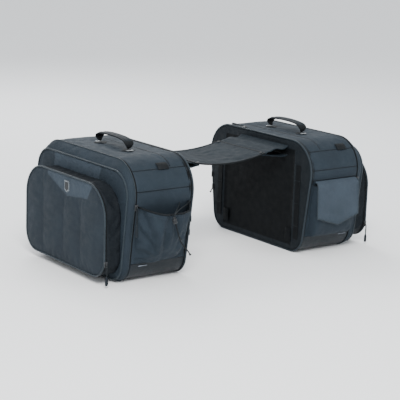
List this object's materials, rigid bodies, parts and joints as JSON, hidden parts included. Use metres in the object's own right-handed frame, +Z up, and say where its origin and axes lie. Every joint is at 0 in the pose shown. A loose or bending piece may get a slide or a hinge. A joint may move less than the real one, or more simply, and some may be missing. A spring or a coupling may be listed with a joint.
{
  "type": "saddle bag",
  "caption": "Pair of soft throw-over saddle bags joined by a wide fabric yoke; zipped fold-down lid with organiser pocket, end pockets and top handle on each bag.",
  "frame": {"origin": "on the floor, midway between the two bags and midway along them", "axes": "+X across the saddle, from the left bag to the right bag; +Y along the bags; +Z up"},
  "size_m": [0.8128, 0.5358, 0.3154],
  "materials": {
    "shell_fabric": "coarse woven nylon, dark blue-grey, faint sheen",
    "accent_fabric": "finer woven nylon, slate blue-grey",
    "back_fabric": "near-black ballistic nylon",
    "webbing": "ribbed webbing, dark grey",
    "board": "stiffening sheet, black",
    "zipper": "coil zipper tape, black",
    "handle_grip": "ribbed moulded grip over webbing",
    "metal": "satin",
    "slider_metal": "dark enamel, worn to bright metal",
    "pull_grip": "moulded soft plastic",
    "lock_plastic": "moulded, black",
    "cord": "braided round cord, black",
    "badge": "blank plate, grey"
  },
  "bodies": {
    "yoke": {"yoke_panel": "shell_fabric", "yoke_rivets": "metal"},
    "bag_left": {"base_panel_left": "shell_fabric", "top_panel_left": "shell_fabric", "end_panel_bottle_left": "shell_fabric", "end_panel_flap_left": "shell_fabric", "back_panel_left": "back_fabric", "back_board_left": "board", "base_board_left": "board", "back_straps_left": "webbing", "zipper_track_left": "zipper", "lash_loops_left": "webbing", "handle_anchors_left": "metal", "bottle_pocket_left": "shell_fabric", "cord_lock_left": "lock_plastic", "drawcord_left": "cord", "flap_pocket_left": "shell_fabric", "yoke_sleeve_left": "shell_fabric"},
    "lid_left": {"lid_gusset_left": "shell_fabric", "lid_panel_left": "accent_fabric", "organiser_gusset_left": "shell_fabric"},
    "cover_left": {"organiser_cover_left": "shell_fabric", "badge_left": "badge"},
    "handle_left": {"handle_left": "handle_grip"},
    "flap_left": {"pocket_flap_left": "accent_fabric"},
    "main_slider_left": {"main_slider_left": "slider_metal"},
    "main_pull_left": {"main_pull_left": "pull_grip"},
    "pocket_slider_left": {"pocket_slider_left": "slider_metal"},
    "pocket_pull_left": {"pocket_pull_left": "pull_grip"},
    "rear_pull_left": {"rear_pull_left": "pull_grip"},
    "bag_right": {"base_panel_right": "shell_fabric", "top_panel_right": "shell_fabric", "end_panel_bottle_right": "shell_fabric", "end_panel_flap_right": "shell_fabric", "back_panel_right": "back_fabric", "back_board_right": "board", "base_board_right": "board", "back_straps_right": "webbing", "zipper_track_right": "zipper", "lash_loops_right": "webbing", "handle_anchors_right": "metal", "bottle_pocket_right": "shell_fabric", "cord_lock_right": "lock_plastic", "drawcord_right": "cord", "flap_pocket_right": "shell_fabric", "yoke_sleeve_right": "shell_fabric"},
    "lid_right": {"lid_gusset_right": "shell_fabric", "lid_panel_right": "accent_fabric", "organiser_gusset_right": "shell_fabric"},
    "cover_right": {"organiser_cover_right": "shell_fabric", "badge_right": "badge"},
    "handle_right": {"handle_right": "handle_grip"},
    "flap_right": {"pocket_flap_right": "accent_fabric"},
    "main_slider_right": {"main_slider_right": "slider_metal"},
    "main_pull_right": {"main_pull_right": "pull_grip"},
    "pocket_slider_right": {"pocket_slider_right": "slider_metal"},
    "pocket_pull_right": {"pocket_pull_right": "pull_grip"},
    "rear_pull_right": {"rear_pull_right": "pull_grip"}
  },
  "joints": [
    {"name": "bag_swing_left", "type": "hinge", "parent": "yoke", "child": "bag_left", "pos_m": [-0.106, -0.02, 0.248], "axis": [0, 1, 0], "range_deg": [-36, 90]},
    {"name": "lid_fold_left", "type": "hinge", "parent": "bag_left", "child": "lid_left", "pos_m": [-0.3386, 0, 0], "axis": [0, -1, 0], "range_deg": [0, 75]},
    {"name": "cover_fold_left", "type": "hinge", "parent": "lid_left", "child": "cover_left", "pos_m": [-0.4008, 0, 0.018], "axis": [0, -1, 0], "range_deg": [0, 90]},
    {"name": "handle_swing_left", "type": "hinge", "parent": "bag_left", "child": "handle_left", "pos_m": [-0.268, 0, 0.2847], "axis": [0, 1, 0], "range_deg": [-40, 40]},
    {"name": "flap_lift_left", "type": "hinge", "parent": "bag_left", "child": "flap_left", "pos_m": [-0.262, 0.2032, 0.1924], "axis": [1, 0, 0], "range_deg": [0, 105]},
    {"name": "main_zip_left", "type": "slide", "parent": "bag_left", "child": "main_slider_left", "axis": [0, -0.1322, 0.9912], "range_m": [-0.12, 0.02]},
    {"name": "main_pull_swing_left", "type": "hinge", "parent": "main_slider_left", "child": "main_pull_left", "pos_m": [-0.3385, -0.2081, 0.182], "axis": [-1, 0, 0], "range_deg": [0, 160]},
    {"name": "organiser_zip_left", "type": "slide", "parent": "lid_left", "child": "pocket_slider_left", "axis": [0, 0, 1], "range_m": [0, 0.095]},
    {"name": "organiser_pull_swing_left", "type": "hinge", "parent": "pocket_slider_left", "child": "pocket_pull_left", "pos_m": [-0.4006, -0.1836, 0.052], "axis": [-1, 0, 0], "range_deg": [0, 160]},
    {"name": "rear_pull_lift_left", "type": "hinge", "parent": "bag_left", "child": "rear_pull_left", "pos_m": [-0.189, 0.084, 0.2882], "axis": [1, 0, 0], "range_deg": [0, 150]},
    {"name": "bag_swing_right", "type": "hinge", "parent": "yoke", "child": "bag_right", "pos_m": [0.106, -0.02, 0.256], "axis": [0, -1, 0], "range_deg": [-36, 90]},
    {"name": "lid_fold_right", "type": "hinge", "parent": "bag_right", "child": "lid_right", "pos_m": [0.3386, 0, 0], "axis": [0, 1, 0], "range_deg": [0, 75]},
    {"name": "cover_fold_right", "type": "hinge", "parent": "lid_right", "child": "cover_right", "pos_m": [0.4008, 0, 0.018], "axis": [0, 1, 0], "range_deg": [0, 90]},
    {"name": "handle_swing_right", "type": "hinge", "parent": "bag_right", "child": "handle_right", "pos_m": [0.268, 0, 0.2847], "axis": [0, -1, 0], "range_deg": [-40, 40]},
    {"name": "flap_lift_right", "type": "hinge", "parent": "bag_right", "child": "flap_right", "pos_m": [0.262, -0.2032, 0.1924], "axis": [-1, 0, 0], "range_deg": [0, 105]},
    {"name": "main_zip_right", "type": "slide", "parent": "bag_right", "child": "main_slider_right", "axis": [0, -0.1322, 0.9912], "range_m": [-0.12, 0.02]},
    {"name": "main_pull_swing_right", "type": "hinge", "parent": "main_slider_right", "child": "main_pull_right", "pos_m": [0.3385, -0.2081, 0.182], "axis": [-1, 0, 0], "range_deg": [0, 160]},
    {"name": "organiser_zip_right", "type": "slide", "parent": "lid_right", "child": "pocket_slider_right", "axis": [0, 0, 1], "range_m": [0, 0.095]},
    {"name": "organiser_pull_swing_right", "type": "hinge", "parent": "pocket_slider_right", "child": "pocket_pull_right", "pos_m": [0.4006, -0.1836, 0.052], "axis": [-1, 0, 0], "range_deg": [0, 160]},
    {"name": "rear_pull_lift_right", "type": "hinge", "parent": "bag_right", "child": "rear_pull_right", "pos_m": [0.189, 0.084, 0.2882], "axis": [1, 0, 0], "range_deg": [0, 150]}
  ]
}
